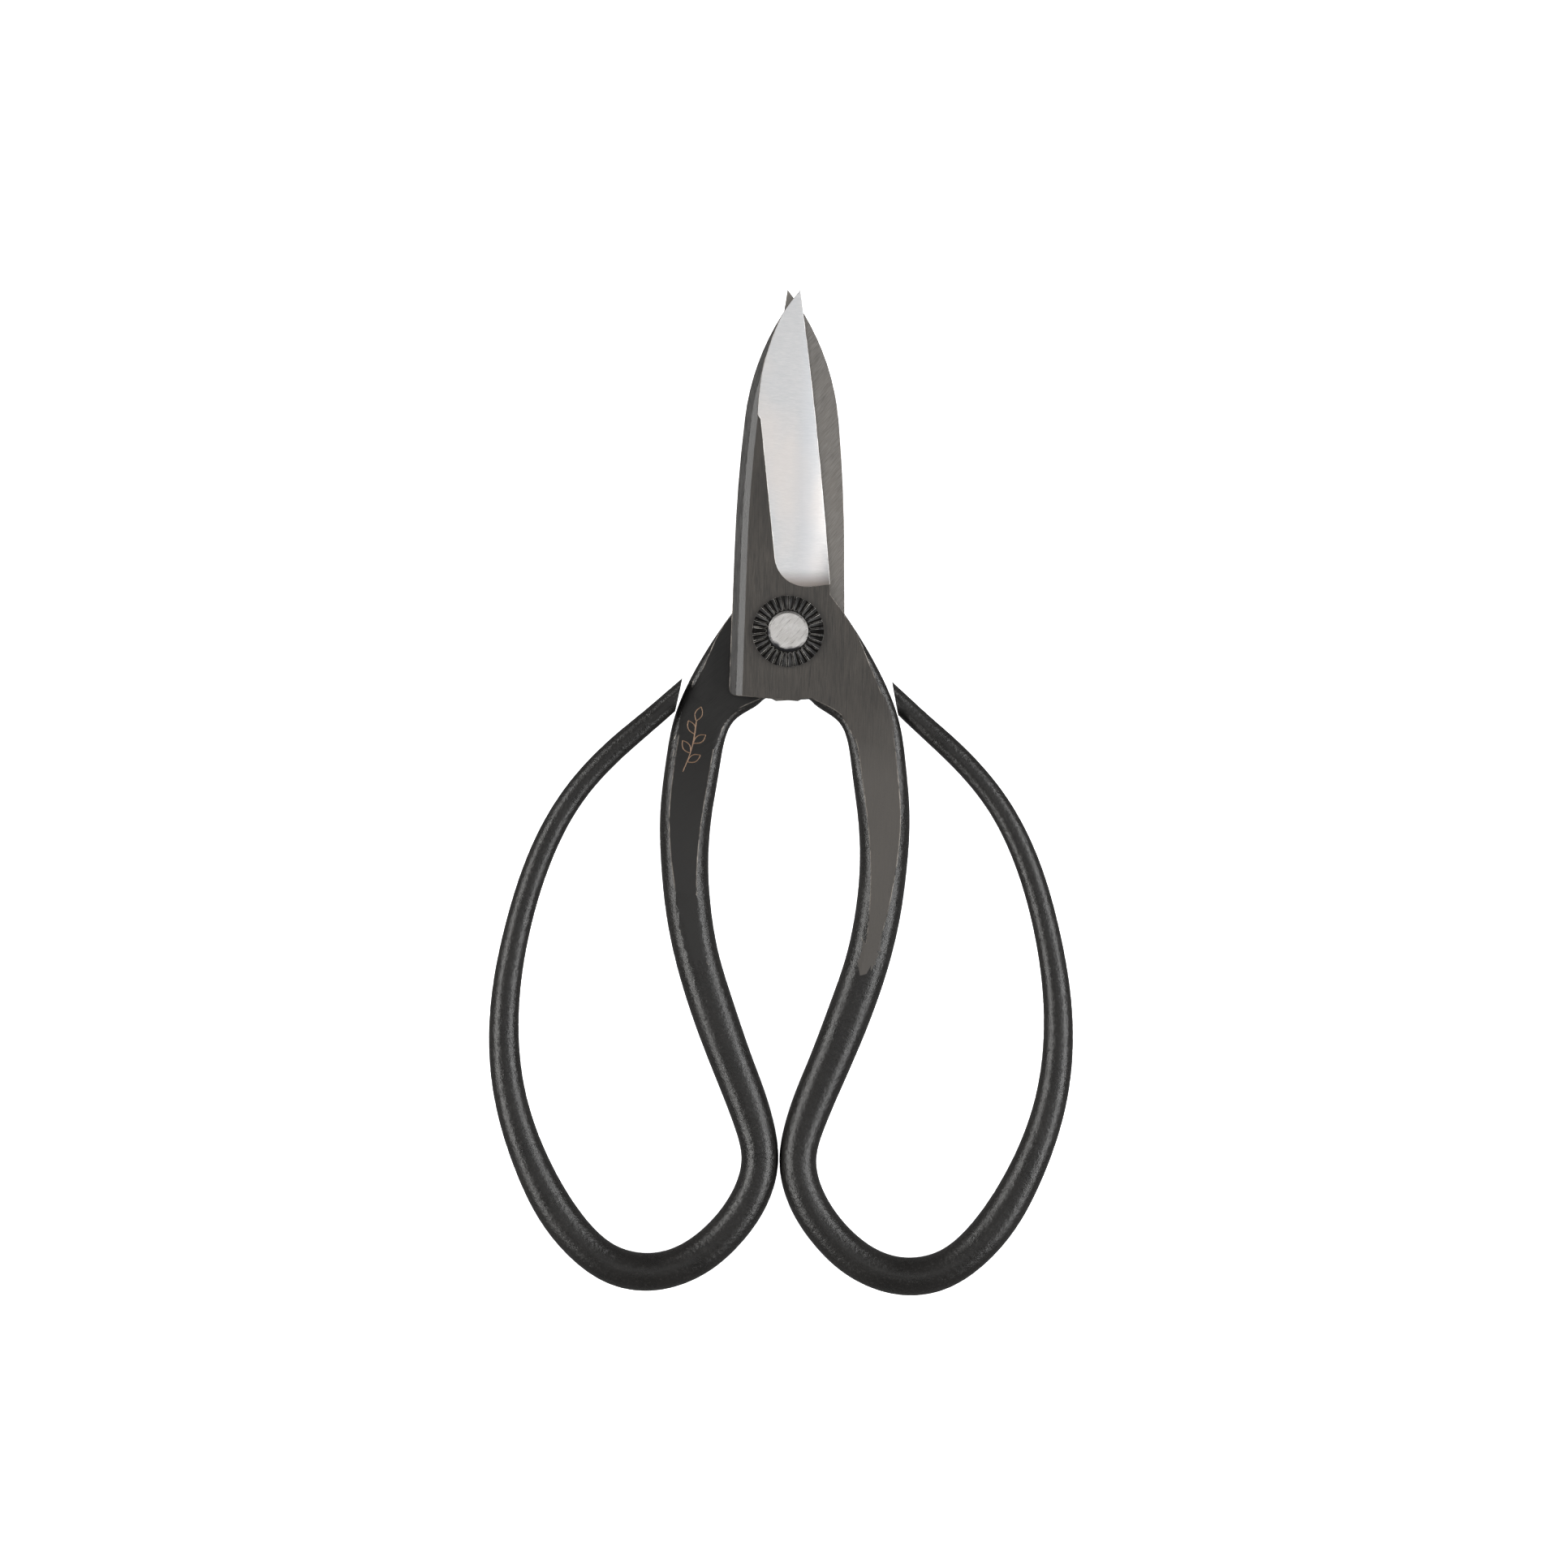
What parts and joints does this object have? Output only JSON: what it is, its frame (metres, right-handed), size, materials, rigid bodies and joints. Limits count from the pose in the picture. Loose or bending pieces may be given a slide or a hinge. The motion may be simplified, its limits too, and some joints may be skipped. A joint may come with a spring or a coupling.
{
  "type": "floral snips",
  "caption": "Garden and flower snips with short pointed blades, large teardrop finger bows bent from the shanks, and a riveted pivot between fluted washers.",
  "frame": {"origin": "on the pivot axis at the back end face of the rivet, the face the snips lie on", "axes": "+Y towards the blade tips, +Z towards the front face, +X to the right seen from the front, where the front half's bow is"},
  "size_m": [0.1046, 0.1798, 0.011],
  "materials": {
    "blackened_steel": "black oxide on forged carbon steel, bevel ground bright",
    "rivet_steel": "bright, ground flat after peening",
    "washer_steel": "black oxide, glossy"
  },
  "bodies": {
    "back_body": {"back_half": "blackened_steel", "pivot_rivet": "rivet_steel", "front_washer": "washer_steel", "back_washer": "washer_steel"},
    "front_body": {"front_half": "blackened_steel"}
  },
  "joints": [
    {"name": "pivot", "type": "hinge", "parent": "back_body", "child": "front_body", "pos_m": [0, 0, 0.00545], "axis": [0, 0, 1], "range_deg": [0, 86]}
  ]
}
